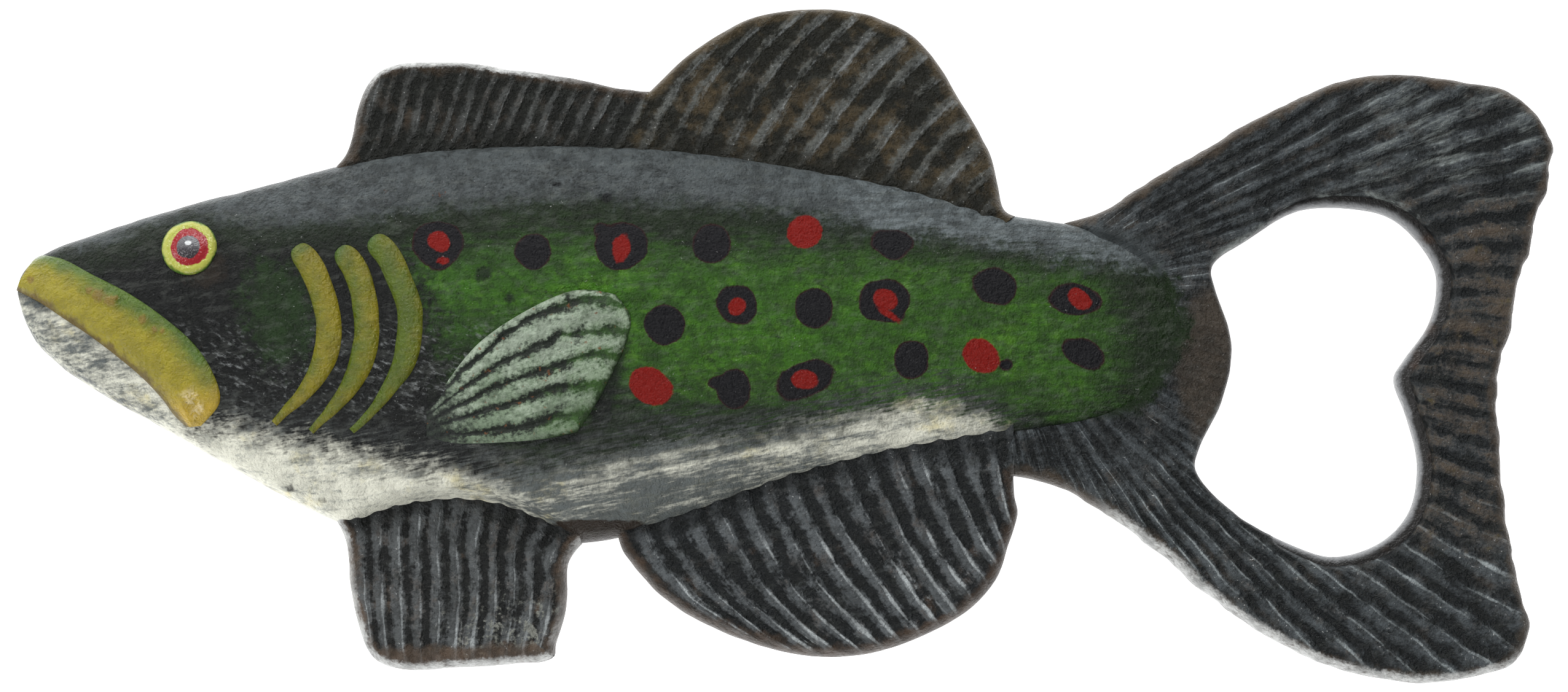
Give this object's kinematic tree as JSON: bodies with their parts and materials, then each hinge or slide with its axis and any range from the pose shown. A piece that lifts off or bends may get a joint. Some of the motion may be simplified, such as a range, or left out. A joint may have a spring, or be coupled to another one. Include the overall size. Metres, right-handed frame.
{
  "type": "bottle opener",
  "caption": "Flat cast-iron fish with a domed body, ribbed fins and a toothed opening through its tail that levers crown caps off bottles.",
  "frame": {"origin": "centre of the footprint at the lowest point of the right flank, with the fish lying on its side", "axes": "+X from the snout to the tail, +Y from the belly to the back, +Z through the thickness to the left flank"},
  "size_m": [0.1698, 0.0748, 0.0178],
  "materials": {
    "flank_paint": "cast iron, hand painted green over black with a cream belly, glossy lacquer",
    "fin_paint": "cast iron, near-black paint with grey dry-brushed rays and brown edges, glossy lacquer",
    "rim_metal": "cast iron, thin dark paint worn to brown",
    "fulcrum_paint": "cast iron, brown paint, glossy lacquer",
    "lip_paint": "cast iron, yellow paint, glossy lacquer",
    "eye_paint": "cast iron, yellow ring, red iris and grey pupil in paint, glossy lacquer",
    "gill_paint": "cast iron, olive-yellow paint, glossy lacquer",
    "pectoral_paint": "cast iron, pale grey-green paint with dark grooves, glossy lacquer"
  },
  "bodies": {
    "root": {"body": "flank_paint", "spiny_dorsal_fin": "fin_paint", "soft_dorsal_fin": "fin_paint", "pelvic_fin": "fin_paint", "anal_fin": "fin_paint", "tail_fin": "fin_paint", "opener_rim": "rim_metal", "cap_tooth": "rim_metal", "cap_fulcrum": "fulcrum_paint", "left_lip": "lip_paint", "right_lip": "lip_paint", "left_eye": "eye_paint", "right_eye": "eye_paint", "left_gill_ridges": "gill_paint", "right_gill_ridges": "gill_paint", "left_pectoral_fin": "pectoral_paint", "right_pectoral_fin": "pectoral_paint"}
  },
  "joints": []
}
